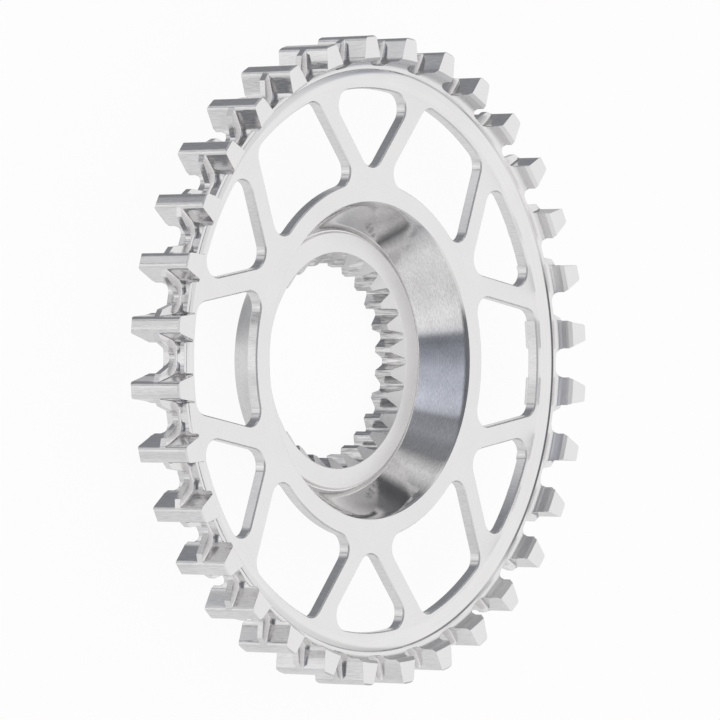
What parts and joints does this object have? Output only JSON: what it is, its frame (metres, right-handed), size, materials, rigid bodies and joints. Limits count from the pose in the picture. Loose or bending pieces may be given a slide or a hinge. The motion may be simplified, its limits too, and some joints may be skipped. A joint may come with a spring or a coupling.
{
  "type": "belt drive sprocket",
  "caption": "Dished one-piece sprocket for a toothed drive belt, with a windowed plate, a guide rib in each tooth space and a splined bore in a set-back hub.",
  "frame": {"origin": "centre of the hub's back face, on the sprocket's axis", "axes": "+Z along the axis, from the hub's back face to the front face of the plate; +X through the middle of a tooth space, of a spline space and of a keystone-shaped window"},
  "size_m": [0.11, 0.11, 0.0168],
  "materials": {
    "steel": "bright satin stainless steel, turned faces, milled teeth"
  },
  "bodies": {
    "root": {"belt_sprocket": "steel"}
  },
  "joints": []
}
